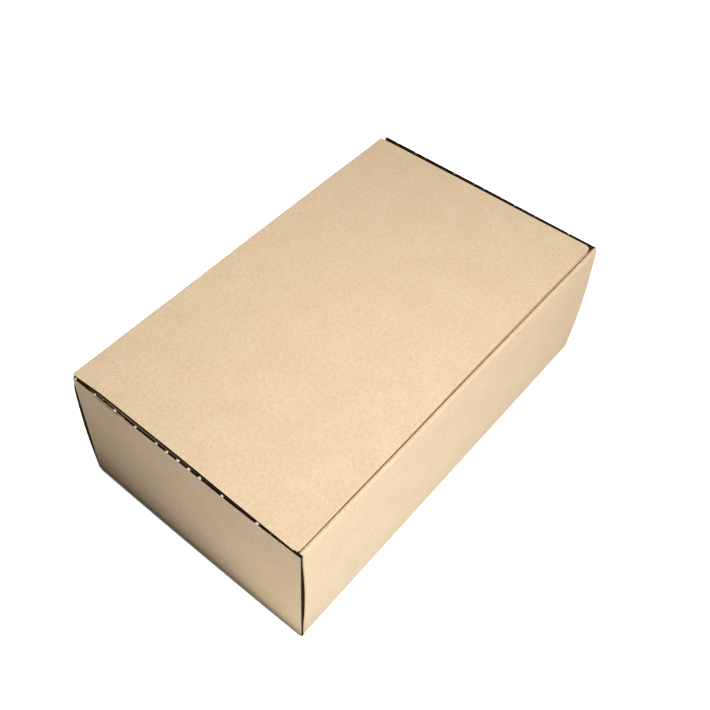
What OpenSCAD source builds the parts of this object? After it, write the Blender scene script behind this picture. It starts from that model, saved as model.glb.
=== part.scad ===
// A mailer box of thin corrugated board, folded from one sheet and shut with a tuck flap.
// The origin is at the middle of the base's underside. X runs along the long side, the
// front wall is towards -Y and the lid's hinge is towards +Y.

/* [Box] */
// Outer length along the long side
box_l = 300; // [240:2:400]
// Outer depth from the front wall to the back wall
box_w = 182; // [170:1:240]
// Outer height with the lid shut
box_h = 101; // [90:1:140]

/* [Board] */
// Thickness of the board
board = 1.5; // [1.2:0.1:1.8]
// Air between two layers that lie against each other
layer_gap = 0.2; // [0.15:0.05:0.3]
// Inside radius of a pressed fold
fold_in = 0.3; // [0.3:0.1:0.6]

/* [Side walls] */
// How far a side wall's outer panel stops short of the box's front and back
side_setback = 0.4; // [0.2:0.1:1]
// How far a side wall's raw top edge lies below the lid's face
side_drop = 0.3; // [0.2:0.1:0.8]
// Length of one nick left uncut in a side wall's top crease
nick_l = 1.2; // [0.8:0.1:2]
// Distance from one nick to the next
nick_pitch = 8.6; // [6:0.1:14]
// Distance from the wall's back edge to the middle of its first nick
nick_start = 4.2; // [3:0.1:8]
// How far a torn nick stands above the raw edge
nick_rise = 0.25; // [0.1:0.05:0.3]

/* [Corner tabs] */
// Length of a corner tab inside a side wall
corner_tab_l = 52; // [30:1:70]
// Slanted cut at a corner tab's free end
corner_tab_cut = 9; // [4:1:14]

/* [Locks] */
// Length of one lock tab, which goes through a slot in the base
lock_l = 32; // [20:1:40]
// Distance from the middle of a side wall to the middle of each of its locks
side_lock_off = 46; // [40:1:55]
// Distance from the middle of the front wall to the middle of each of its locks
front_lock_off = 88; // [60:1:90]

/* [Front wall] */
// How far the front wall's rolled rim lies below the lid's face
rim_drop = 0.2; // [0.1:0.1:0.6]

/* [Lid] */
// Distance from the box's short side to the lid's raw edge
lid_inset = 3; // [2.4:0.1:3.6]
// Gap between the front wall and the lid's front fold
lid_front_gap = 0.7; // [0.6:0.1:1.2]
// Cut across the lid's front corners
corner_cut = 2.6; // [1.5:0.1:5]

/* [Tuck flap] */
// Length of the tuck flap below the lid
flap_l = 38; // [25:1:38]
// Distance from the box's short side to the tuck flap's end
flap_inset = 7; // [6.5:0.5:12]
// Lean of the tuck flap towards the inside, in degrees
flap_lean = 6; // [6:0.5:10]
// Radius of the tuck flap's lower corners
flap_corner = 14; // [5:1:20]

/* [Hidden] */
kraft = [0.86, 0.75, 0.61];
kraft_inside = [0.76, 0.64, 0.49];

// Roundness of the folds, which stay true cylinders
fold_fn = 48;
// Overlap that joins two pieces of one sheet
weld = 0.4;
// Clearance around a lock tab in its slot
slot_play = 0.2;
// Clearance beside a hinge line
hinge_play = 0.1;
// How far the tuck flap's hinge line lies below the lid's underside
crease_drop = 0.15;
// Distance from the tuck flap's hinge line to its board
crease_play = 0.3;

fold_out = fold_in + board;
half_l = box_l / 2;
half_w = box_w / 2;

// Layers of a side wall, from the outside: outer panel, corner tab, inner panel
side_stack = 3 * board + 2 * layer_gap;
// Layers of the front wall: outer panel and inner panel
front_stack = 2 * board + layer_gap;

lid_under = box_h - board;
side_top = box_h - side_drop;
crown_top = lid_under - layer_gap;
crown_under = crown_top - board;
tab_in = board + layer_gap;
tab_low = board + 2 * layer_gap;
tab_high = crown_under - layer_gap;

rim_r = front_stack / 2;
rim_z = box_h - rim_drop - rim_r;
wall_half = half_l - board - layer_gap - fold_out;

hinge_y = half_w - board / 2;
hinge_z = box_h - board / 2;

crease_y = -half_w + front_stack + lid_front_gap + board;
lid_half = half_l - lid_inset;
flap_half = half_l - flap_inset;

side_len = box_w - 2 * side_setback;
nick_count = floor((side_len - 2 * nick_start) / nick_pitch) + 1;

// A section drawn with Y and Z, run along X
module along_x(length) {
    rotate([90, 0, 90]) linear_extrude(length, center = true) children();
}

// A section drawn with X and Z, run from y_front to y_back
module along_y(y_front, y_back) {
    translate([0, y_back, 0]) rotate([90, 0, 0]) linear_extrude(y_back - y_front) children();
}

// Everything once as drawn and once mirrored to the other short side
module both_ends() {
    children();
    mirror([1, 0, 0]) children();
}

// Section of a right-angled fold whose centre is the origin, turning the sheet from -X to -Y
module fold_section() {
    intersection() {
        difference() {
            circle(r = fold_out, $fn = fold_fn);
            circle(r = fold_in, $fn = fold_fn);
        }
        translate([-fold_out, -fold_out]) square(fold_out);
    }
}

// Section of a wall's foot and outer panel: a strip of base, the fold and the upright
module wall_section(top) {
    translate([fold_out, fold_out]) fold_section();
    translate([fold_out, 0]) square([weld, board]);
    translate([0, fold_out]) square([board, top - fold_out]);
}

// Section of the front wall's rolled rim and inner panel
module front_roll_section() {
    translate([rim_r, rim_z]) intersection() {
        difference() {
            circle(r = rim_r, $fn = fold_fn);
            circle(r = rim_r - board, $fn = fold_fn);
        }
        translate([-rim_r, 0]) square([2 * rim_r, rim_r]);
    }
    translate([board + layer_gap, tab_in]) square([board, rim_z - tab_in]);
}

// Section of a side wall's crown strip and inner panel, which hang from the nicks
module side_roll_section() {
    translate([side_stack - fold_out, crown_top - fold_out]) rotate(180) fold_section();
    translate([tab_in, crown_under]) square([side_stack - fold_out - tab_in, board]);
    translate([side_stack - board, tab_in]) square([board, crown_top - fold_out - tab_in]);
}

// Section of a nick: a tongue of board from the outer panel's raw edge down to the crown strip
module nick_section() {
    polygon([
        [board / 4, side_top - weld],
        [board / 4, side_top + nick_rise],
        [board, side_top + nick_rise],
        [tab_in + weld, crown_top],
        [tab_in + weld, crown_under],
        [board - weld, crown_under]
    ]);
}

// Slot in the base, with its length along X, around a lock tab of an inner panel
module lock_slot(inner_face) {
    translate([-lock_l / 2 - slot_play, inner_face - slot_play, -1])
        cube([lock_l + 2 * slot_play, board + 2 * slot_play, board + 2]);
}

// Lock tab with its length along X, from an inner panel down into its slot
module lock_tab(inner_face) {
    translate([-lock_l / 2, inner_face, slot_play])
        cube([lock_l, board, tab_in + weld - slot_play]);
}

// Turns what is drawn for the front wall to the left side wall
module on_left_wall() {
    translate([-half_l, 0, 0]) rotate(-90) children();
}

// Where the front wall's locks are
module at_front_locks() {
    for (x = [-front_lock_off, front_lock_off]) translate([x, -half_w, 0]) children();
}

// Where the left side wall's locks are
module at_left_locks() {
    for (y = [-side_lock_off, side_lock_off]) translate([0, y, 0]) on_left_wall() children();
}

// Outline of a corner tab, with Y from the corner fold and Z from the base
module corner_tab_outline() {
    polygon([
        [-weld, tab_low],
        [corner_tab_l - corner_tab_cut / 2, tab_low],
        [corner_tab_l, tab_low + corner_tab_cut],
        [corner_tab_l, tab_high - corner_tab_cut],
        [corner_tab_l - corner_tab_cut / 2, tab_high],
        [-weld, tab_high]
    ]);
}

// The left end of the front wall: its corner fold and the tab inside the side wall
module corner_tab() {
    translate([-wall_half, -half_w + fold_out, fold_out])
        linear_extrude(rim_z - fold_out) fold_section();
    translate([-half_l + tab_in, -half_w + fold_out, 0])
        rotate([90, 0, 90]) linear_extrude(board) corner_tab_outline();
}

// Base, outer panels and corner tabs, with the slots cut through the base
module outer_sheet() {
    difference() {
        union() {
            translate([-half_l + fold_out, -half_w + fold_out, 0])
                cube([box_l - 2 * fold_out, box_w - 2 * fold_out, board]);
            translate([0, -half_w, 0]) along_x(2 * wall_half) wall_section(rim_z);
            both_ends() translate([-half_l, 0, 0])
                along_y(-side_len / 2, side_len / 2) wall_section(side_top);
            mirror([0, 1, 0]) translate([0, -half_w, 0])
                along_x(2 * wall_half) wall_section(hinge_z);
        }
        at_front_locks() lock_slot(board + layer_gap);
        both_ends() at_left_locks() lock_slot(side_stack - board);
    }
    both_ends() {
        corner_tab();
        mirror([0, 1, 0]) corner_tab();
    }
}

// The front wall's rim and inner panel, rolled over inwards, with its lock tabs
module front_roll() {
    translate([0, -half_w, 0]) along_x(2 * wall_half) front_roll_section();
    at_front_locks() lock_tab(board + layer_gap);
}

// The left wall's crown strip and inner panel, rolled over inwards, with nicks and lock tabs
module side_roll() {
    translate([-half_l, 0, 0])
        along_y(-half_w + front_stack + layer_gap, half_w - board - layer_gap)
            side_roll_section();
    for (i = [0 : nick_count - 1]) {
        y_mid = side_len / 2 - nick_start - i * nick_pitch;
        translate([-half_l, 0, 0])
            along_y(y_mid - nick_l / 2, y_mid + nick_l / 2) nick_section();
    }
    at_left_locks() lock_tab(side_stack - board);
}

// Base and walls, all one folded sheet, with the bead of the lid's hinge crease on the back
module tray() {
    color(kraft) {
        outer_sheet();
        front_roll();
        both_ends() side_roll();
        translate([0, hinge_y, hinge_z]) rotate([0, 90, 0])
            cylinder(d = board, h = 2 * wall_half, center = true, $fn = fold_fn);
    }
}

// Outline of the lid's top panel, seen from above
module lid_outline() {
    polygon([
        [-lid_half, hinge_y - board / 2 - hinge_play],
        [-lid_half, crease_y + corner_cut],
        [-lid_half + corner_cut, crease_y],
        [lid_half - corner_cut, crease_y],
        [lid_half, crease_y + corner_cut],
        [lid_half, hinge_y - board / 2 - hinge_play]
    ]);
}

// Top panel with raw short edges and the rounded fold along its front
module lid() {
    color(kraft) {
        translate([0, 0, lid_under]) linear_extrude(board) lid_outline();
        translate([0, crease_y, lid_under]) along_x(2 * (lid_half - corner_cut))
            intersection() {
                circle(r = board, $fn = fold_fn);
                translate([-board, 0]) square([board + weld, board]);
            }
    }
}

// Outline of the tuck flap, with X along the box and Y down from the hinge line
module flap_outline() {
    translate([-flap_half, crease_play])
        square([2 * flap_half, flap_l - flap_corner - crease_play]);
    translate([-flap_half + flap_corner, 0])
        square([2 * (flap_half - flap_corner), flap_l]);
    for (x = [-flap_half + flap_corner, flap_half - flap_corner])
        translate([x, flap_l - flap_corner]) circle(r = flap_corner, $fn = 2 * fold_fn);
}

// Flap that hangs behind the front wall and leans inwards
module tuck_flap() {
    color(kraft_inside)
        translate([0, crease_y, lid_under - crease_drop]) rotate([flap_lean, 0, 0])
            rotate([-90, 0, 0]) mirror([0, 0, 1]) linear_extrude(board)
                difference() {
                    flap_outline();
                    translate([-half_l, -board]) square([box_l, board + crease_play]);
                }
}

tray();
lid();
tuck_flap();
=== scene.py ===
"""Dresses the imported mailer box: kraft liners over open flutes, soft folds and torn nicks."""
import bisect
import math
import random

import bmesh
import bpy
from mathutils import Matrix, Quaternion, Vector


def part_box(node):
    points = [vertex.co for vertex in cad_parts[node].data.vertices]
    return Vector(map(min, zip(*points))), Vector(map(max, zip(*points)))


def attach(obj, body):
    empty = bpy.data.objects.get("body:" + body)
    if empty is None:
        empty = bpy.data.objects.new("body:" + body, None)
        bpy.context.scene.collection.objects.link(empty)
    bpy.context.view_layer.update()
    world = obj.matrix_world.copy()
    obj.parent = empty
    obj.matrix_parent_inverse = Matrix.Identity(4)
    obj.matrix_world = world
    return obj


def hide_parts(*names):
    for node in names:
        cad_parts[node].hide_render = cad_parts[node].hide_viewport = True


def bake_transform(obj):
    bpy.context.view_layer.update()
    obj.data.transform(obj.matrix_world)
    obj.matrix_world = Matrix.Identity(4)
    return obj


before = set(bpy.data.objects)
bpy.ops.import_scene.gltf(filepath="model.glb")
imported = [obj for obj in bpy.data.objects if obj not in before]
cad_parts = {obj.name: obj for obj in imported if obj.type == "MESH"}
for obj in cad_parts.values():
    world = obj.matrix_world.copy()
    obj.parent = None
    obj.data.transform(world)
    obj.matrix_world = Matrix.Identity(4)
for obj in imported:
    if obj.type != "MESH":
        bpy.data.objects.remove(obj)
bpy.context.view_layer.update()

MM = 0.001

# The box as the frame gives it
_, tray_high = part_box("tray")
lid_low, lid_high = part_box("lid")
flap_low, flap_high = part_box("tuck_flap")
HALF_L = tray_high.x
HALF_W = tray_high.y
TOP = lid_high.z
BOARD = lid_high.z - lid_low.z
LID_UNDER = lid_low.z
LID_HALF = lid_high.x
FLAP_HALF = flap_high.x
FLAP_BOTTOM = flap_low.z

# Board: two liners with a wavy medium between them
LINER = 0.26 * MM
MEDIUM = 0.22 * MM
FLUTE_PITCH = 3.3 * MM
FLUTE_STEPS = 10
FLUTE_REACH = 3.5 * MM
FLUTE_INSET = 0.15 * MM
WAVE_END = 0.1 * MM
EDGE_INSET = 2.6 * MM
GLUE_LINE = 0.02 * MM
WAVE = BOARD / 2 - LINER - MEDIUM / 2 - GLUE_LINE

# Material slots of the sheet
KRAFT = 0
# The core slot's dark brown is partly the raw medium's own colour and partly painted shade for the
# open flutes and cut edges; it is also laid on some liners as painted shade in gaps and recesses
CORE_AND_SHADE = 1
WORN = 2

# Layers, folds and tabs of the sheet
LAYER_GAP = 0.2 * MM
FOLD_OUT = 1.8 * MM
CORNER_FOLD = 1.2 * MM
BOTTOM_FOLD = 1.2 * MM
SIDE_FOLD = 2.6 * MM
FOLD_STEPS = 7
TAB_IN = BOARD + LAYER_GAP
SIDE_STACK = 3 * BOARD + 2 * LAYER_GAP
FRONT_STACK = 2 * BOARD + LAYER_GAP
SIDE_SETBACK = 0.1 * MM
SIDE_BACK_SETBACK = 3.0 * MM
RIGHT_FRONT_SETBACK = 1.6 * MM
LEFT_TOP_DROP = 1.4 * MM
SIDE_TOP_DROP = 0.3 * MM
SIDE_TOP = TOP - SIDE_TOP_DROP
CROWN_TOP = LID_UNDER - LAYER_GAP
CROWN_DROP = 2.6 * MM
CROWN_GAP = 0.5 * MM
RIM_RADIUS = FRONT_STACK / 2
RIM_PROUD = 1.2 * MM
RIM_DROP = 0.2 * MM
RIM_RUN = 2 * MM
RIM_Z = TOP - RIM_DROP - RIM_RADIUS
WALL_HALF = HALF_L - TAB_IN - CORNER_FOLD
TAB_LENGTH = 52 * MM
TAB_CUT = 9 * MM
TAB_LOW = BOARD + 2 * LAYER_GAP
TAB_HIGH = CROWN_TOP - CROWN_DROP - BOARD - 4 * LAYER_GAP
TAB_NECK = 3 * MM
CORNER_LOW = 0.5 * MM
# Share of each corner fold that keeps the kraft colour; past it the neck's outer liner is painted
# shade
FRONT_FOLD_UNSHADED = 0.85
BACK_FOLD_UNSHADED = 0.95
LOCK_HALF = 16 * MM
SLOT_PLAY = 0.2 * MM
FRONT_SLOT_IN = 0.5 * MM
SIDE_LOCKS = (-46 * MM, 46 * MM)
FRONT_LOCKS = (-88 * MM, 88 * MM)
BACK_TAB_DROP = 2.2 * MM
LID_GAP = 0.9 * MM
LID_FRONT = -HALF_W + FRONT_STACK + LID_GAP
LID_FOLD = 0.8 * MM
CORNER_CUT = 0.9 * MM
CORNER_RUN = 2.2 * MM
FLAP_LEAN = math.radians(2)
FLAP_AHEAD = 0.25 * MM
FLAP_CORNER = 14 * MM
FLAP_ARC_STEPS = 10

# Straight run on each side of a crease
CREASE_RUN = 2.6 * MM

# Mesh steps, from flat panels down to the folds
BASE_STEP = 16 * MM
WALL_STEP = 8 * MM
PANEL_STEP = 6 * MM
FLAP_STEP = 5 * MM
EDGE_STEP = 4 * MM
WORN_STEP = 1.5 * MM
HINGE_STEP = 1.0 * MM
CREASE_STEP = 0.6 * MM
SCUFF_STEP = 0.5 * MM
NECK_STEP = 0.5 * MM
CORNER_STEP = 0.2 * MM

# What use and handling did to the photographed box
FRONT_BULGE = 1.5 * MM
BULGE_MIDDLE = 0.55
BULGE_LEFT = 0.25
BULGE_RIGHT = 0.45
END_RUN = 12 * MM
CORNER_PINCH = 1.0 * MM
RIGHT_CORNER_OUT = (1.1 * MM, 0.6 * MM)
BACK_CORNER_X = (1.0 * MM, 1.0 * MM)
BACK_CORNER_Y = (0.5 * MM, 0.9 * MM)
BACK_CORNER_RUN = 0.7 * TAB_NECK
UNDER_LID = 14 * MM
UNDER_LID_RUN = 12 * MM
SIDE_BELLY = 1.4 * MM
BELLY_LOW = 0.45
BELLY_RUN = 20 * MM
FULLNESS = 0.7
LID_SAG = 0.35 * MM
LID_SKEW = 0.65 * MM
LID_OVER = 0.3 * MM
LID_LEFT_FRONT = 1.9 * MM
LID_LEFT_BACK = 1.0 * MM
LID_LEFT_BACK_SHARE = 0.15
LID_RIGHT_BACK = 1.4 * MM
EDGE_WAVER = 0.12 * MM
# Rate and phase of the slow wave, then rate and drift with height of the quick one
WAVE_ALONG_Y = (37, 0.6, 83, 21)
WAVE_ALONG_X = (29, 1.1, 67, 17)
NICK_PITCH = 8.6 * MM
NICK_START = 4.6 * MM
NICKS_LEFT = (0, 2, 4, 6, 8, 9, 10, 11, 12, 14, 17)
NICKS_RIGHT = (1, 3, 4, 7, 9, 10, 13, 15, 18)
TUFT_SIZE = Vector((0.75, 1.05, 0.55)) * MM
TUFT_SCALE = (0.8, 1.15)
TUFT_RUFFLE = 0.18
SCUFF_START = 18 * MM
SCUFF_END = 47 * MM
SCUFF_RUN = 10 * MM
SCUFF_DEPTH = 2.4 * MM
SCUFF_SKIN = (0.6 * LINER, 1.6 * LINER)
# Share of the full depth, then size, rate and phase of each ripple
RAGGED_MIDDLE = 0.75
RAGGED_RIPPLES = ((0.2, 900, 0), (0.15, 2300, 1))


class Track:
    """The outer face of a folded sheet in section: straight runs, and folds that turn inwards."""

    def __init__(self, start, heading, outward):
        self.point = Vector(start)
        self.heading = Vector(heading)
        self.outward = Vector(outward)
        self.length = 0.0
        self.runs = []

    def run(self, length, radius, angle):
        """Adds a stretch that starts where the last one ended."""
        self.runs.append((self.length, self.point, self.heading, self.outward, radius, angle))
        self.length += length
        self.point, self.heading, self.outward = self.state(self.length)
        return self

    def line(self, length):
        return self.run(length, 0.0, 0.0)

    def fold(self, radius, degrees):
        angle = math.radians(degrees)
        return self.run(radius * angle, radius, angle)

    def state(self, s):
        """Point, heading and outward direction at the distance s."""
        starts = [run[0] for run in self.runs]
        index = max(bisect.bisect_right(starts, s) - 1, 0)
        start, point, heading, outward, radius, angle = self.runs[index]
        along = s - start
        if not radius:
            return point + heading * along, heading, outward
        turn = along / radius
        turned = outward * math.cos(turn) + heading * math.sin(turn)
        ahead = heading * math.cos(turn) - outward * math.sin(turn)
        return point + (turned - outward) * radius, ahead, turned

    def at(self, s, depth):
        """The point that lies depth below the outer face at the distance s."""
        point, _, outward = self.state(s)
        return point - outward * depth

    def stops(self, step):
        """Distances for a grid: even steps on the straight runs and FOLD_STEPS on each fold."""
        found = []
        ends = [run[0] for run in self.runs[1:]] + [self.length]
        for (start, _, _, _, radius, angle), end in zip(self.runs, ends):
            folds = max(FOLD_STEPS, round(FOLD_STEPS * angle / (math.pi / 2)))
            count = folds if radius else max(1, math.ceil((end - start) / step))
            found += [start + (end - start) * i / count for i in range(count)]
        return found + [self.length]


def spread(low, high, step):
    """Even stops from low to high, about a step apart."""
    count = max(1, math.ceil((high - low) / step))
    return [low + (high - low) * i / count for i in range(count + 1)]


def smooth(value):
    """Eases 0 to 1, and holds outside."""
    value = min(max(value, 0.0), 1.0)
    return value * value * (3 - 2 * value)


def near_end(distance, end, run):
    """0 up to a run before the end, and 1 at the end and past it."""
    return smooth((distance - end + run) / run)


def waver(along, up, slow, phase, quick, drift):
    """Two waves along an edge. The quick one drifts with height."""
    return math.sin(along * slow + phase) + 0.5 * math.sin(along * quick + up * drift)


def settle(point):
    """The slight unevenness of a hand-folded box, whose side walls belly out low down."""
    low = math.sin(math.pi * min(max(point.z / TOP, 0.0), 1.0) ** BELLY_LOW)
    middle = math.cos(math.pi * min(abs(point.y) / HALF_W, 1.0) / 2) ** FULLNESS
    outer = near_end(abs(point.x), HALF_L, BELLY_RUN)
    point.x += math.copysign(SIDE_BELLY * low * middle * outer, point.x)
    lift = smooth(point.z / TOP)
    wave_x = waver(point.y, point.z, *WAVE_ALONG_Y)
    wave_y = waver(point.x, point.z, *WAVE_ALONG_X)
    return point + Vector((wave_x, wave_y, 0)) * (EDGE_WAVER * lift)


class Sheets:
    """Gathers plates in one mesh. Each vertex keeps its place on the flat blank."""

    def __init__(self):
        self.verts = []
        self.blank = []
        self.faces = []
        self.slots = []

    def plate(self, rows, vs, place, low, high, slots, blank, keep=None):
        """A closed plate. rows(v) gives the stops along the flutes, vs those across them, and
        place(t, v, depth) a point. low and high are depths, or functions of v. slots are those
        of the low face, the high face, the rim along v, and its first and last end."""
        base = len(self.verts)
        count_v = len(vs)
        count_t = len(rows(vs[0]))
        for side in (low, high):
            for v in vs:
                depth = side(v) if callable(side) else side
                for t in rows(v):
                    self.verts.append(settle(place(t, v, depth)))
                    self.blank.append(blank(t, v))

        def at(side, j, i):
            return base + (side * count_v + j) * count_t + i

        def kept(j, i):
            inside = 0 <= j < count_v - 1 and 0 <= i < count_t - 1
            return inside and (keep is None or keep(i, j))

        for j in range(count_v - 1):
            for i in range(count_t - 1):
                if not kept(j, i):
                    continue
                ring = [(j, i), (j, i + 1), (j + 1, i + 1), (j + 1, i)]
                self.faces.append([at(0, *corner) for corner in ring])
                self.faces.append([at(1, *corner) for corner in reversed(ring)])
                beyond = [(j - 1, i), (j, i + 1), (j + 1, i), (j, i - 1)]
                for a, b, other in zip(ring, ring[1:] + ring[:1], beyond):
                    if not kept(*other):
                        self.faces.append([at(0, *b), at(0, *a), at(1, *a), at(1, *b)])
                self.slots += list(slots[:2])
                rims = (slots[3], slots[2], slots[4], slots[2])
                self.slots += [rim for rim, other in zip(rims, beyond) if not kept(*other)]

    def board(self, rows, vs, place, blank, cut=(False, False), cut_v=(True, True), keep=None,
              skins=(KRAFT, KRAFT), skin_rows=None, core=CORE_AND_SHADE):
        """Corrugated board: two liners, the core, and open flutes at each end that is cut.
        skins are the liners' slots, skin_rows the outer one's stops where it is worn back, and
        core the slot of the filling and of the liners' cut edges."""
        rims = (core, *(core if end else KRAFT for end in cut_v))
        outer = (skins[0], core, *rims)
        self.plate(skin_rows or rows, vs, place, 0.0, LINER, outer, blank, keep)
        inner = (core, skins[1], *rims)
        self.plate(rows, vs, place, BOARD - LINER, BOARD, inner, blank, keep)
        core_vs = list(vs)
        core_vs[0] += EDGE_INSET * cut_v[0]
        core_vs[-1] -= EDGE_INSET * cut_v[1]

        def core_rows(v):
            stops = list(rows(v))
            stops[0] += FLUTE_REACH * cut[0]
            stops[-1] -= FLUTE_REACH * cut[1]
            return stops

        filling = (core, core, *rims)
        self.plate(core_rows, core_vs, place, LINER, BOARD - LINER, filling, blank, keep)
        wave_vs = spread(vs[0] + WAVE_END, vs[-1] - WAVE_END, FLUTE_PITCH / FLUTE_STEPS)

        def wave(shift):
            return lambda v: BOARD / 2 + shift + WAVE * math.sin(2 * math.pi * v / FLUTE_PITCH)

        for end, inwards in ((0, 1), (-1, -1)):
            if cut[end]:
                def wave_rows(v, end=end, inwards=inwards):
                    edge = rows(v)[end] + inwards * FLUTE_INSET
                    return sorted((edge, edge + inwards * FLUTE_REACH))
                self.plate(wave_rows, wave_vs, place,
                           wave(-MEDIUM / 2), wave(MEDIUM / 2), (CORE_AND_SHADE,) * 5, blank)

    def finish(self, name, body, replaced=None):
        """Makes the object, with sharp cut edges and soft folds."""
        mesh = bpy.data.meshes.new(name)
        mesh.from_pydata(self.verts, [], self.faces)
        for polygon, slot in zip(mesh.polygons, self.slots):
            polygon.material_index = slot
        place = mesh.attributes.new("blank", "FLOAT_VECTOR", "POINT")
        place.data.foreach_set("vector", [c for point in self.blank for c in (*point, 0.0)])
        tidy = bmesh.new()
        tidy.from_mesh(mesh)
        loose = [vert for vert in tidy.verts if not vert.link_faces]
        bmesh.ops.delete(tidy, geom=loose, context="VERTS")
        bmesh.ops.recalc_face_normals(tidy, faces=tidy.faces)
        tidy.to_mesh(mesh)
        tidy.free()
        mesh.shade_smooth()
        mesh.set_sharp_from_angle(angle=math.radians(35))
        piece = bpy.data.objects.new(name, mesh)
        bpy.context.scene.collection.objects.link(piece)
        for material in (kraft_liner, core_and_painted_shade, kraft_worn):
            mesh.materials.append(material)
        if body:
            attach(piece, body)
        if replaced:
            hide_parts(replaced)
        return piece


# Materials

def srgb(red, green, blue):
    """A colour given as 0 to 255 on screen, in linear light."""
    def linear(value):
        value /= 255
        return value / 12.92 if value <= 0.04045 else ((value + 0.055) / 1.055) ** 2.4
    return linear(red), linear(green), linear(blue), 1.0


class Nodes:
    """Short names for building a material's nodes."""

    def __init__(self, name):
        self.material = bpy.data.materials.new(name)
        self.material.use_nodes = True
        self.tree = self.material.node_tree
        self.shader = self.tree.nodes["Principled BSDF"]

    def add(self, kind, settings=None, **inputs):
        """A node with its properties set, and its inputs set or linked."""
        node = self.tree.nodes.new(kind)
        for key, value in (settings or {}).items():
            setattr(node, key, value)
        for key, value in inputs.items():
            self.feed(node.inputs[key.replace("_", " ")], value)
        return node

    def feed(self, socket, value):
        if isinstance(value, bpy.types.NodeSocket):
            self.tree.links.new(value, socket)
        else:
            socket.default_value = value

    def math(self, operation, a, b=0.0):
        node = self.tree.nodes.new("ShaderNodeMath")
        node.operation = operation
        self.feed(node.inputs[0], a)
        self.feed(node.inputs[1], b)
        return node.outputs[0]

    def ramp(self, value, low, high, out_low=0.0, out_high=1.0):
        """Maps low..high to out_low..out_high, held at the ends."""
        node = self.tree.nodes.new("ShaderNodeMapRange")
        for socket, number in zip(node.inputs, (value, low, high, out_low, out_high)):
            self.feed(socket, number)
        return node.outputs[0]

    def mix(self, factor, a, b):
        node = self.tree.nodes.new("ShaderNodeMix")
        node.data_type = "RGBA"
        self.feed(node.inputs["Factor"], factor)
        self.feed(node.inputs["A"], a)
        self.feed(node.inputs["B"], b)
        return node.outputs["Result"]

    def noise(self, where, scale, detail=2.0, rough=0.5):
        node = self.add("ShaderNodeTexNoise", Vector=where, Scale=scale,
                        Detail=detail, Roughness=rough)
        return node.outputs["Fac"]

    def turned(self, where, degrees, stretch):
        """The blank's coordinates turned, and squeezed along one way to draw out fibres."""
        node = self.add("ShaderNodeMapping", Vector=where,
                        Rotation=(0, 0, math.radians(degrees)), Scale=(stretch, 1, 1))
        return node.outputs["Vector"]


def make_kraft(name, colour, dark, light, contrast):
    """Matt kraft liner: faint clouds, fine grain, short fibres, and dark and pale specks."""
    n = Nodes(name)
    where = n.add("ShaderNodeAttribute", {"attribute_name": "blank"}).outputs["Vector"]
    cloud = n.ramp(n.noise(where, 45.0, 2.0, 0.5), 0.3, 0.7, -0.2, 0.2)
    patch = n.ramp(n.noise(where, 420.0, 2.0, 0.5), 0.3, 0.7, -0.45, 0.45)
    grain = n.noise(where, 1500.0, 2.0, 0.6)
    fine = n.ramp(grain, 0.3, 0.7, -0.7, 0.7)
    tone = n.math("ADD", cloud, n.math("ADD", patch, fine))
    shade = n.ramp(tone, -1.0, 1.0, 0.5 - contrast, 0.5 + contrast)
    base = n.mix(0.5, colour, n.mix(shade, dark, light))
    fibres = 0.0
    for degrees, scale in FIBRES:
        line = n.noise(n.turned(where, degrees, 0.3), scale, 1.0, 0.4)
        fibres = n.math("ADD", fibres, n.ramp(line, 0.66, 0.8))
    base = n.mix(n.math("MULTIPLY", fibres, 0.3), base, light)
    for scale, share, strength, tint in SPECKS:
        cells = n.add("ShaderNodeTexVoronoi", Vector=where, Scale=scale)
        dot = n.ramp(cells.outputs["Distance"], 0.12, 0.26, 1.0, 0.0)
        pick = n.add("ShaderNodeSeparateColor", Color=cells.outputs["Color"]).outputs["Red"]
        speck = n.math("MULTIPLY", dot, n.ramp(pick, 1 - share, 1 - 0.6 * share))
        base = n.mix(n.math("MULTIPLY", speck, strength), base, tint)
    n.feed(n.shader.inputs["Base Color"], base)
    n.feed(n.shader.inputs["Roughness"], n.ramp(grain, 0.3, 0.7, 0.8, 0.92))
    n.shader.inputs["Specular IOR Level"].default_value = 0.2
    across = n.add("ShaderNodeSeparateXYZ", Vector=where).outputs["Y"]
    flutes = n.math("SINE", n.math("MULTIPLY", across, 2 * math.pi / FLUTE_PITCH))
    height = n.math("ADD", n.math("MULTIPLY", flutes, 0.02), n.math("MULTIPLY", grain, 0.1))
    height = n.math("ADD", height, n.math("MULTIPLY", fibres, 0.04))
    bump = n.add("ShaderNodeBump", Strength=0.3, Distance=0.3 * MM, Height=height)
    n.feed(n.shader.inputs["Normal"], bump.outputs["Normal"])
    return n.material


def make_torn(name):
    """Torn board fibres at a nick: pale, rough and fuzzy."""
    n = Nodes(name)
    where = n.add("ShaderNodeTexCoord").outputs["Object"]
    fuzz = n.noise(where, 2600.0, 3.0, 0.7)
    n.feed(n.shader.inputs["Base Color"],
           n.mix(n.ramp(fuzz, 0.3, 0.7), srgb(214, 184, 146), srgb(250, 232, 204)))
    n.feed(n.shader.inputs["Roughness"], n.ramp(fuzz, 0.3, 0.7, 0.85, 1.0))
    bump = n.add("ShaderNodeBump", Strength=0.6, Distance=0.2 * MM, Height=fuzz)
    n.feed(n.shader.inputs["Normal"], bump.outputs["Normal"])
    return n.material


# Turn in degrees and scale of each set of fibres
FIBRES = ((15, 900.0), (75, 820.0), (135, 980.0))
# Cells to the metre, share of the cells with a speck, strength and tint
SPECKS = ((950.0, 0.11, 0.5, srgb(158, 124, 88)), (720.0, 0.10, 0.45, srgb(252, 238, 206)),
          (380.0, 0.03, 0.4, srgb(136, 104, 72)))
kraft_liner = make_kraft("kraft_liner", srgb(229, 201, 165), srgb(199, 166, 127),
                         srgb(247, 225, 192), 0.42)
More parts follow.
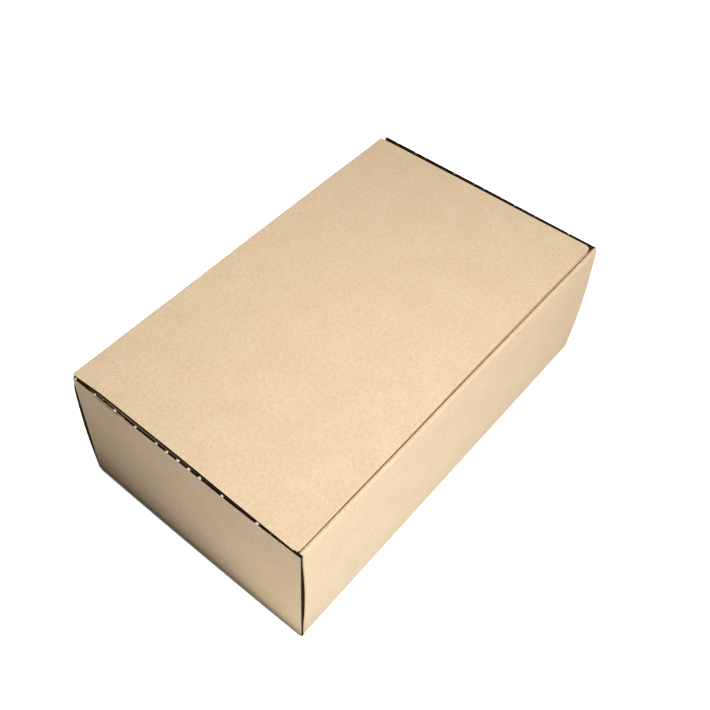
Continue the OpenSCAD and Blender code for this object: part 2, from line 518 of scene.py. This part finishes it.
# Core colour: a darker brown than the liner, darkened further as painted shade for the shadow in
# the open flutes and on the raw cut edges
core_and_painted_shade = make_kraft("core_and_painted_shade", srgb(48, 30, 16), srgb(32, 20, 10),
                        srgb(70, 48, 29), 0.4)
kraft_worn = make_kraft("kraft_worn", srgb(186, 146, 102), srgb(140, 104, 68),
                        srgb(226, 192, 150), 0.5)
torn_fibre = make_torn("torn_fibre")


# Tray

def wall_track(radius, height):
    """A panel in section: the fold at its foot, then straight up."""
    return Track((radius, 0), (-1, 0), (0, -1)).fold(radius, 90).line(height - radius)


def halfway(z):
    """0 at the floor and at the rim, and 1 halfway up."""
    return math.sin(math.pi * min(max(z / RIM_Z, 0.0), 1.0))


def front_bulge(point):
    """The outer front panel bows out halfway up. Its left end draws in, and its right one out."""
    added = BULGE_LEFT if point.x < 0 else BULGE_RIGHT
    point.y -= FRONT_BULGE * halfway(point.z) * (BULGE_MIDDLE + added * (point.x / HALF_L) ** 2)
    deep = smooth((point.y + HALF_W - CORNER_FOLD) / TAB_NECK)
    out = RIGHT_CORNER_OUT[0] + RIGHT_CORNER_OUT[1] * halfway(point.z)
    shift = out if point.x > 0 else CORNER_PINCH * halfway(point.z)
    point.x += shift * near_end(abs(point.x), WALL_HALF, END_RUN) * (1 - deep)
    return point


def back_corner_out(point):
    """The back corners' folds stand out past the side panels, most of all halfway up."""
    deep = smooth((HALF_W - CORNER_FOLD - point.y) / BACK_CORNER_RUN)
    share = near_end(abs(point.x), WALL_HALF, END_RUN) * (1 - deep)
    under_lid = 1 - smooth((point.z - LID_UNDER + UNDER_LID) / UNDER_LID_RUN)
    out = BACK_CORNER_X[0] * under_lid + BACK_CORNER_X[1] * halfway(point.z)
    point.x += math.copysign(out * share, point.x)
    point.y += (BACK_CORNER_Y[0] * under_lid + BACK_CORNER_Y[1] * halfway(point.z)) * share
    return point


def filled(stops, edge):
    """The stops in order, with even ones from -edge to edge where there is room between them."""
    room = BASE_STEP / 8
    even = spread(-edge, edge, BASE_STEP)
    return sorted(stops | {s for s in even if all(abs(s - other) > room for other in stops)})


def add_base(sheets):
    """The base with its six lock slots."""
    play = LOCK_HALF + SLOT_PLAY
    side_in = HALF_L - (SIDE_STACK - BOARD - SLOT_PLAY)
    side_out = HALF_L - (SIDE_STACK + SLOT_PLAY)
    front_in = -HALF_W + BOARD + LAYER_GAP - SLOT_PLAY + FRONT_SLOT_IN
    front_out = -HALF_W + FRONT_STACK + SLOT_PLAY
    edge_x = HALF_L - SIDE_FOLD
    edge_y = HALF_W - BOTTOM_FOLD
    xs = {-edge_x, edge_x, -side_in, -side_out, side_out, side_in}
    for lock in FRONT_LOCKS:
        xs |= {lock - play, lock + play}
    ys = {-edge_y, edge_y, front_in, front_out}
    for lock in SIDE_LOCKS:
        ys |= {lock - play, lock + play}
    xs = filled(xs, edge_x)
    ys = filled(ys, edge_y)

    def solid(i, j):
        x = (xs[i] + xs[i + 1]) / 2
        y = (ys[j] + ys[j + 1]) / 2
        side = side_out < abs(x) < side_in and any(abs(y - lock) < play for lock in SIDE_LOCKS)
        front = front_in < y < front_out and any(abs(x - lock) < play for lock in FRONT_LOCKS)
        return not side and not front

    sheets.board(lambda v: xs, ys, lambda t, v, h: Vector((t, v, h)),
                 lambda t, v: (t, v), cut_v=(False, False), keep=solid)


def add_front_wall(sheets):
    """Outer front panel, then the rolled rim and the inner panel, which has raw ends."""
    track = wall_track(BOTTOM_FOLD, RIM_Z)
    xs = spread(-WALL_HALF, WALL_HALF, EDGE_STEP)

    def outer(t, v, depth):
        inwards, up = track.at(v, depth)
        return front_bulge(Vector((t, -HALF_W + inwards, up)))

    sheets.board(lambda v: xs, track.stops(PANEL_STEP), outer,
                 lambda t, v: (t, -HALF_W - v), cut_v=(False, False))
    roll = Track((0, RIM_Z), (0, 1), (-1, 0)).fold(RIM_RADIUS, 180).line(RIM_Z - TAB_IN)

    def rolled(t, v, depth):
        inwards, up = roll.at(v, depth)
        share = 1 - smooth(v / (math.pi * RIM_RADIUS))
        out = RIGHT_CORNER_OUT[0] * share * near_end(t, WALL_HALF, END_RUN)
        return Vector((t + out, -HALF_W + inwards, up))

    def rolled_rows(v):
        round_end = math.pi * RIM_RADIUS
        if v <= round_end:
            half = WALL_HALF + RIM_PROUD * math.sqrt(math.sin(math.pi * min(v / round_end, 1.0)))
        else:
            half = WALL_HALF - RIM_PROUD * smooth((v - round_end) / RIM_RUN)
        return [-half, *xs[1:-1], half]

    sheets.board(rolled_rows, roll.stops(WALL_STEP), rolled,
                 lambda t, v: (t, -HALF_W - track.length - v),
                 cut=(True, True), cut_v=(False, True))


def add_back_wall(sheets):
    """Back wall, up to where the lid's crease begins."""
    track = wall_track(BOTTOM_FOLD, TOP - FOLD_OUT - CREASE_RUN)
    xs = spread(-WALL_HALF, WALL_HALF, EDGE_STEP)

    def place(t, v, depth):
        inwards, up = track.at(v, depth)
        return back_corner_out(Vector((t, HALF_W - inwards, up)))

    sheets.board(lambda v: xs, track.stops(PANEL_STEP), place,
                 lambda t, v: (t, HALF_W + v), cut_v=(False, False))
    return HALF_W + track.length


def add_corner_tab(sheets, side_x, side_y):
    """A rounded corner fold, its neck with an outer liner of painted shade, and the tab that it
    leads to inside the side wall.
    """
    track = wall_track(CORNER_FOLD, TAB_LENGTH)
    share = FRONT_FOLD_UNSHADED if side_y < 0 else BACK_FOLD_UNSHADED
    unshaded_fold = CORNER_FOLD * math.pi / 2 * share
    neck_end = CORNER_FOLD * math.pi / 2 + TAB_NECK
    top = RIM_Z if side_y < 0 else LID_UNDER - BACK_TAB_DROP
    bend = front_bulge if side_y < 0 else back_corner_out

    def place(t, v, depth):
        inwards_x, inwards_y = track.at(t, depth)
        return bend(Vector((side_x * (HALF_L - TAB_IN - inwards_x),
                            side_y * (HALF_W - inwards_y), v)))

    def blank(t, v):
        return side_x * (WALL_HALF + t), side_y * (HALF_W + v)

    def tab_rows(v):
        near_edge = min(v - TAB_LOW, TAB_HIGH - v)
        shorter = TAB_CUT / 2 * (1 - smooth(near_edge / TAB_CUT))
        return spread(neck_end, track.length - TAB_CUT, PANEL_STEP) + [track.length - shorter]

    tall = spread(CORNER_LOW, top, EDGE_STEP)
    sheets.board(lambda v: spread(0.0, unshaded_fold, CORNER_STEP), tall, place, blank)
    # The neck's outer liner takes the dark core colour: painted shade in the recess between the
    # side panel and the corner fold
    sheets.board(lambda v: spread(unshaded_fold, neck_end, NECK_STEP), tall, place, blank,
                 skins=(CORE_AND_SHADE, KRAFT))
    sheets.board(tab_rows, spread(TAB_LOW, TAB_HIGH, EDGE_STEP), place, blank)


def scuff(side_x, y):
    """How far the left panel's outer liner is worn back from its top edge near the back."""
    into = min(HALF_W - SCUFF_START - y, y - HALF_W + SCUFF_END) / SCUFF_RUN
    ripples = sum(size * math.sin(y * rate + phase) for size, rate, phase in RAGGED_RIPPLES)
    return SCUFF_DEPTH * smooth(into) * (RAGGED_MIDDLE + ripples) if side_x < 0 else 0.0


def top_drop(side_x, y):
    """The left panel's top edge lies lowest in its middle."""
    along = min(max((y + HALF_W) / (2 * HALF_W), 0.0), 1.0)
    return LEFT_TOP_DROP * math.sin(math.pi * along) ** FULLNESS if side_x < 0 else 0.0


def add_side_wall(sheets, side_x):
    """Outer side panel with its raw top edge, then the crown strip and the inner panel."""
    track = wall_track(SIDE_FOLD, SIDE_TOP)
    stops = track.stops(WALL_STEP)
    front = SIDE_SETBACK if side_x < 0 else RIGHT_FRONT_SETBACK
    step = WORN_STEP if side_x < 0 else EDGE_STEP

    def rows(v, worn=0.0):
        return stops[:-1] + [stops[-1] - top_drop(side_x, v) - worn]

    def place(t, v, depth):
        inwards, up = track.at(t, depth)
        return Vector((side_x * (HALF_L - inwards), v, up))

    def blank(t, v):
        return side_x * (HALF_L + t), v

    # The outer panel's inner liner takes the dark core colour: painted shade in the gap between the
    # panel and the lid
    sheets.board(rows, spread(-HALF_W + front, HALF_W - SIDE_BACK_SETBACK, step),
                 place, blank, cut=(False, True), skins=(KRAFT, CORE_AND_SHADE),
                 skin_rows=lambda v: rows(v, scuff(side_x, v)))
    if side_x < 0:
        sheets.plate(lambda v: [rows(v, scuff(side_x, v) + LINER)[-1], rows(v)[-1]],
                     spread(HALF_W - SCUFF_END, HALF_W - SCUFF_START, SCUFF_STEP),
                     place, *SCUFF_SKIN, (WORN,) * 5, blank)
    crown = Track((TAB_IN + CROWN_GAP, CROWN_TOP), (1, 0), (0, 1))
    crown.line(SIDE_STACK - TAB_IN - CROWN_GAP - FOLD_OUT).fold(FOLD_OUT, 90)
    strip = crown.length
    crown.line(CROWN_TOP - FOLD_OUT - TAB_IN)
    front = -HALF_W + FRONT_STACK + LAYER_GAP
    back = HALF_W - BOARD - LAYER_GAP

    def rolled(t, v, depth):
        inwards, up = crown.at(t, depth)
        drop = CROWN_DROP * (1 - smooth(t / strip))
        return Vector((side_x * (HALF_L - inwards), v, up - drop))

    crown_stops = crown.stops(WALL_STEP)
    sheets.board(lambda v: crown_stops, spread(front, back, PANEL_STEP), rolled,
                 lambda t, v: blank(track.length + t, v))


def add_lock_tabs(sheets):
    """Tongues of the inner panels that pass through the base's slots."""
    drop = [SLOT_PLAY, TAB_IN]
    for lock in FRONT_LOCKS:
        sheets.board(lambda v, lock=lock: [lock - LOCK_HALF, lock + LOCK_HALF], drop,
                     lambda t, v, h: Vector((t, -HALF_W + FRONT_STACK - h, v)),
                     lambda t, v: (t, -HALF_W - v), cut_v=(False, False))
    for side_x in (-1, 1):
        for lock in SIDE_LOCKS:
            sheets.board(lambda v: drop, [lock - LOCK_HALF, lock + LOCK_HALF],
                         lambda t, v, h, side_x=side_x:
                         Vector((side_x * (HALF_L - SIDE_STACK + h), v, t)),
                         lambda t, v, side_x=side_x: (side_x * (HALF_L + t), v),
                         cut_v=(False, False))


def make_tray():
    sheets = Sheets()
    add_base(sheets)
    add_front_wall(sheets)
    crease_start = add_back_wall(sheets)
    for side_x in (-1, 1):
        for side_y in (-1, 1):
            add_corner_tab(sheets, side_x, side_y)
        add_side_wall(sheets, side_x)
    add_lock_tabs(sheets)
    sheets.finish("tray_sheet", "tray", "tray")
    return crease_start


# Lid and tuck flap

def lid_edges(y):
    """Where the lid's two raw edges are at y: the cut is a little askew, and chamfered in front."""
    along = (y + HALF_W) / (2 * HALF_W)
    cut = CORNER_CUT * max(0.0, 1 - (y - LID_FRONT - LID_FOLD) / CORNER_RUN)
    wider_back = LID_LEFT_BACK * near_end(along, 1.0, LID_LEFT_BACK_SHARE)
    left = -LID_HALF - LID_OVER - wider_back - LID_LEFT_FRONT * (1 - along) ** 2
    right = LID_HALF + LID_OVER - LID_RIGHT_BACK * along
    return left + cut, right - cut


def skew(x, share):
    """The lid's front fold runs a little askew: nearer to the rim on the left."""
    return LID_SKEW * share * x / HALF_L


def sag(x, y):
    """The lid's panel gives a little in its middle."""
    return LID_SAG * math.cos(math.pi * x / (2 * HALF_L)) * math.cos(math.pi * y / (2 * HALF_W))


def make_lid(crease_start):
    """Crease at the back wall, top panel, and the crease at the tuck flap."""
    back = HALF_W - FOLD_OUT
    front = LID_FRONT + LID_FOLD
    panel_back = back - CREASE_RUN
    panel_front = front + CREASE_RUN
    mids = spread(-LID_HALF + PANEL_STEP, LID_HALF - PANEL_STEP, PANEL_STEP)
    bead = Track((HALF_W, TOP - FOLD_OUT - CREASE_RUN), (0, 1), (1, 0))
    bead.line(CREASE_RUN).fold(FOLD_OUT, 90).line(CREASE_RUN)
    sheets = Sheets()

    def bent(t, v, depth):
        y, z = bead.at(v, depth)
        return Vector((t, y, z))

    hinge_low, hinge_high = lid_edges(panel_back)

    def hinge_rows(v):
        upper = smooth(v / bead.length)
        return [-WALL_HALF + (hinge_low + WALL_HALF) * upper, *mids,
                WALL_HALF + (hinge_high - WALL_HALF) * upper]

    sheets.board(hinge_rows, bead.stops(HINGE_STEP), bent,
                 lambda t, v: (t, crease_start + v), cut=(True, True), cut_v=(False, False),
                 core=KRAFT)
    hinge = sheets.finish("lid_crease", None)
    blend_across(hinge)

    blank_y = crease_start + bead.length + panel_back
    panel = Sheets()
    vs = spread(-panel_back, -panel_front, EDGE_STEP)

    def flat(t, v, depth):
        share = smooth((v + panel_back) / (panel_back - panel_front))
        return Vector((t, skew(t, share) - v, TOP - depth - sag(t, v)))

    def rows(v):
        low, high = lid_edges(-v)
        return [low, *mids, high]

    panel.board(rows, vs, flat, lambda t, v: (t, blank_y + v),
                cut=(True, True), cut_v=(False, False))
    panel.finish("lid_sheet", "lid", "lid")

    turn = 90 + math.degrees(FLAP_LEAN)
    front_track = Track((panel_front, TOP), (-1, 0), (0, 1))
    front_track.line(CREASE_RUN).fold(LID_FOLD, turn)
    fold_end = front_track.length
    front_track.line(CREASE_RUN)
    crease = Sheets()

    def folded(t, v, depth):
        y, z = front_track.at(v, depth)
        into_flap = smooth((v - fold_end) / CREASE_RUN)
        ahead = skew(t, 1 - into_flap) - FLAP_AHEAD * into_flap
        return Vector((t, y + ahead, z - sag(t, y) * (1 - smooth(v / CREASE_RUN))))

    def crease_rows(v):
        y, _ = front_track.at(v, 0.0)
        low, high = lid_edges(y) if v <= CREASE_RUN else lid_edges(front)
        into_flap = smooth((v - CREASE_RUN) / (front_track.length - CREASE_RUN))
        low += (-FLAP_HALF - low) * into_flap
        high += (FLAP_HALF - high) * into_flap
        return [low, *mids[1:-1], high]

    blank_front = blank_y - panel_front
    crease.board(crease_rows, front_track.stops(CREASE_STEP), folded,
                 lambda t, v: (t, blank_front + v), cut=(True, True), cut_v=(False, False),
                 core=KRAFT)
    fold = crease.finish("flap_crease", None)
    blend_across(fold)
    make_flap(front_track, blank_front, mids[1:-1])


def blend_across(piece):
    """Bakes a crease strip's place into its mesh."""
    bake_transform(piece)


def make_flap(front_track, blank_front, mids):
    """The tuck flap, with rounded lower corners, hanging on from its crease."""
    start = front_track.length
    down = front_track.heading.y
    length = (FLAP_BOTTOM - front_track.point.y) / down
    end = start + length
    front_track.line(length)
    turns = [math.pi / 2 * i / FLAP_ARC_STEPS for i in range(FLAP_ARC_STEPS + 1)]
    corner = [end - FLAP_CORNER + FLAP_CORNER * math.sin(turn) for turn in turns]
    vs = spread(start, end - FLAP_CORNER, FLAP_STEP)[:-1] + corner

    def half(v):
        into = max(0.0, v - (end - FLAP_CORNER))
        return FLAP_HALF - FLAP_CORNER + math.sqrt(max(FLAP_CORNER ** 2 - into ** 2, 0.0))

    inner = [x for x in mids if abs(x) < FLAP_HALF - FLAP_CORNER - FLAP_STEP]
    sheets = Sheets()

    def place(t, v, depth):
        y, z = front_track.at(v, depth)
        return Vector((t, y - FLAP_AHEAD, z))

    sheets.board(lambda v: [-half(v), *inner, half(v)], vs, place,
                 lambda t, v: (t, blank_front + v), cut=(True, True), cut_v=(False, True))
    sheets.finish("flap_sheet", "tuck_flap", "tuck_flap")


# Torn nicks

def make_nicks(side_x, name, torn, seed, inset, low):
    """Pale tufts that stand on a side wall's raw edge where its nicks tore. They lie inset from
    the wall's outer face, and low below its edge."""
    rng = random.Random(seed)
    tuft = bmesh.new()
    for index in torn:
        y = HALF_W - NICK_START - index * NICK_PITCH
        size = TUFT_SIZE * rng.uniform(*TUFT_SCALE)
        belly = SIDE_BELLY * math.sin(math.pi * (SIDE_TOP / TOP) ** BELLY_LOW)
        top = SIDE_TOP - low - top_drop(side_x, y)
        centre = Vector((side_x * (HALF_L - belly - inset), y, top))
        lump = bmesh.ops.create_icosphere(tuft, subdivisions=3, radius=1.0)
        for vert in lump["verts"]:
            ruffle = math.sin(9 * vert.co.x + 7 * index) * math.sin(11 * vert.co.y)
            swell = 1 + TUFT_RUFFLE * ruffle
            vert.co = settle(centre + Vector(a * b * swell for a, b in zip(vert.co, size)))
    mesh = bpy.data.meshes.new(name)
    tuft.to_mesh(mesh)
    tuft.free()
    mesh.shade_smooth()
    mesh.materials.append(torn_fibre)
    piece = bpy.data.objects.new(name, mesh)
    bpy.context.scene.collection.objects.link(piece)
    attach(piece, "tray")


# Stage

# How much light the floor throws back, and how bright it looks itself. The light thrown back is
# painted light: brighter to the front and on the left, tinted cool on the left and warm on the
# right
FLOOR_BOUNCE = 0.8
FRONT_BOUNCE = 1.2
LEFT_BOUNCE = (1.4, 1.95)
COOL_BOUNCE = (0.97, 1.12, 1.28, 1)
WARM_BOUNCE = (0.92, 0.94, 0.96, 1)
FLOOR_SHOWN = 2.6
# Glow that the camera sees, stronger on the left of the box: painted light that whitens the lamps'
# shadow there
FLOOR_GLOW = (0.45, 0.85)
# Width of the painted shade beside the left wall, in the light the floor throws back, at the front
# and towards the back
PAINTED_SHADE_WIDE = (8 * MM, 84 * MM)
PAINTED_SHADE_POWER = 3.0
# Reach of the painted contact shadow at the box's foot, drawn from occlusion, and its strength
# under the box and beside it
CONTACT_REACH = 1.6 * MM
CONTACT_POWER = (0.4, 2.5)
CONTACT_RUN = 2 * MM
FLOOR_HALF = 3.0
FLOOR_FADE = (0.3, 0.7)
WORLD_LIGHT = 0.1
LAMP_AIM = (0, 0, 0.05)
# Name, place, size, power and tint of each lamp
LAMPS = (("key", (-0.15, -0.5, 0.66), 0.3, 4.75, (0.985, 1.01, 1.03)),
         ("fill", (-0.04, 0.0, 0.55), 0.2, 0.8, (1.02, 0.99, 0.97)),
         ("back", (0.35, 0.85, 0.2), 0.4, 2.4, (1.0, 1.0, 1.0)))


def make_floor():
    """Pale floor that the camera sees as white, apart from the box's shadow and a painted contact
    shadow at its foot. The light that it throws back is painted light and shade.
    """
    mesh = bpy.data.meshes.new("floor")
    corners = ((-1, -1), (1, -1), (1, 1), (-1, 1))
    mesh.from_pydata([(a * FLOOR_HALF, b * FLOOR_HALF, 0) for a, b in corners],
                     [], [(0, 1, 2, 3)])
    n = Nodes("floor_white")
    n.tree.nodes.remove(n.shader)
    seen = n.add("ShaderNodeLightPath").outputs["Is Camera Ray"]
    where = n.add("ShaderNodeTexCoord").outputs["Object"]
    away = n.add("ShaderNodeVectorMath", {"operation": "LENGTH"}, Vector=where).outputs["Value"]
    far = n.ramp(away, *FLOOR_FADE)
    spot = n.add("ShaderNodeSeparateXYZ", Vector=where)
    x = spot.outputs["X"]
    y = spot.outputs["Y"]
    off_wall = n.math("SUBTRACT", -HALF_L, x)
    # Painted shadow: beside the left wall the light the floor throws back fades to nothing, in a
    # strip that widens towards the back
    wide = n.ramp(y, -HALF_W, 0.5 * HALF_W, *PAINTED_SHADE_WIDE)
    painted_shade_ramp = n.math("MINIMUM", n.math("DIVIDE", off_wall, wide), 1.0)
    painted_shade_ramp = n.math("POWER", painted_shade_ramp, PAINTED_SHADE_POWER)
    # Painted light: the floor throws back more light on the left and towards the front than behind
    # the box
    left = n.math("MULTIPLY", painted_shade_ramp, n.ramp(y, 0.6 * HALF_W, -HALF_W, *LEFT_BOUNCE))
    is_left = n.math("GREATER_THAN", off_wall, 0.0)
    other = n.ramp(y, -0.5 * HALF_W, -HALF_W, FLOOR_BOUNCE, FRONT_BOUNCE)
    bounce = n.add("ShaderNodeMix", Factor=is_left)
    n.feed(bounce.inputs["A"], other)
    n.feed(bounce.inputs["B"], n.math("MAXIMUM", left, 0.0))
    bounce = bounce.outputs["Result"]
    # Painted contact shadow: occlusion darkens the floor that the camera sees, and its glow, at the
    # box's foot
    contact = n.add("ShaderNodeAmbientOcclusion", {"samples": 8}, Distance=CONTACT_REACH)
    strength = n.ramp(off_wall, -CONTACT_RUN, 0.0, *CONTACT_POWER)
    painted_contact_shadow = n.math("POWER", contact.outputs["AO"], strength)
    shown = n.add("ShaderNodeMix", Factor=seen)
    n.feed(shown.inputs["A"], bounce)
    n.feed(shown.inputs["B"], n.math("MULTIPLY", painted_contact_shadow, FLOOR_SHOWN))
    shown = shown.outputs["Result"]
    # Painted light colour: the light the floor throws back is tinted cool on the left and warm on
    # the right
    tint = n.mix(n.ramp(x, -HALF_L, HALF_L), COOL_BOUNCE, WARM_BOUNCE)
    tint = n.mix(n.math("MAXIMUM", seen, is_left), tint, (1, 1, 1, 1))
    scaled = n.add("ShaderNodeVectorMath", {"operation": "SCALE"}, Vector=tint, Scale=shown)
    paper = n.add("ShaderNodeBsdfDiffuse", Color=scaled.outputs["Vector"])
    # Painted light: the camera's glow is stronger on the left of the box
    near = n.math("MULTIPLY", painted_contact_shadow, n.ramp(off_wall, -CONTACT_RUN, 0.0, *FLOOR_GLOW))
    glow = n.math("MULTIPLY", seen, n.math("ADD", near, far))
    glow = n.add("ShaderNodeEmission", Color=(1, 1, 1, 1), Strength=glow)
    both = n.add("ShaderNodeAddShader")
    n.tree.links.new(paper.outputs[0], both.inputs[0])
    n.tree.links.new(glow.outputs[0], both.inputs[1])
    n.tree.links.new(both.outputs[0], n.tree.nodes["Material Output"].inputs["Surface"])
    mesh.materials.append(n.material)
    floor = bpy.data.objects.new("floor", mesh)
    bpy.context.scene.collection.objects.link(floor)


def make_world():
    """Soft grey light from all round, which the camera sees as white."""
    world = bpy.data.worlds.new("studio")
    world.use_nodes = True
    bpy.context.scene.world = world
    tree = world.node_tree
    path = tree.nodes.new("ShaderNodeLightPath")
    mix = tree.nodes.new("ShaderNodeMixShader")
    lit = tree.nodes["Background"]
    lit.inputs["Strength"].default_value = WORLD_LIGHT
    lit.inputs["Color"].default_value = (1, 1, 1, 1)
    white = tree.nodes.new("ShaderNodeBackground")
    white.inputs["Color"].default_value = (1, 1, 1, 1)
    tree.links.new(path.outputs["Is Camera Ray"], mix.inputs[0])
    tree.links.new(lit.outputs[0], mix.inputs[1])
    tree.links.new(white.outputs[0], mix.inputs[2])
    tree.links.new(mix.outputs[0], tree.nodes["World Output"].inputs["Surface"])


def make_lamp(name, place, size, power, tint):
    lamp = bpy.data.lights.new(name, "AREA")
    lamp.color = tint
    lamp.shape = "DISK"
    lamp.size = size
    lamp.energy = power
    holder = bpy.data.objects.new(name, lamp)
    bpy.context.scene.collection.objects.link(holder)
    holder.location = place
    holder.rotation_mode = "QUATERNION"
    holder.rotation_quaternion = (Vector(LAMP_AIM) - Vector(place)).to_track_quat("-Z", "Y")


def make_camera():
    """Looks down on the front left corner, as the photograph does."""
    place = Vector((-0.32005, -0.24339, 0.54661))
    aim = Vector((0.02093, 0.04285, 0.0))
    roll = math.radians(0.83)
    data = bpy.data.cameras.new("camera")
    data.sensor_width = 36
    data.lens = 48.36
    data.shift_x = 0.052
    camera = bpy.data.objects.new("camera", data)
    bpy.context.scene.collection.objects.link(camera)
    camera.location = place
    camera.rotation_mode = "QUATERNION"
    camera.rotation_quaternion = (
        (aim - place).to_track_quat("-Z", "Y") @ Quaternion((0, 0, 1), roll))
    bpy.context.scene.camera = camera


make_camera()
make_lid(make_tray())
make_nicks(-1, "nicks_left", NICKS_LEFT, seed=4, inset=0.5 * MM, low=0.0)
make_nicks(1, "nicks_right", NICKS_RIGHT, seed=9, inset=0.2 * MM, low=0.7 * MM)
make_floor()
make_world()
for lamp in LAMPS:
    make_lamp(*lamp)
bpy.context.scene.view_settings.view_transform = "Standard"
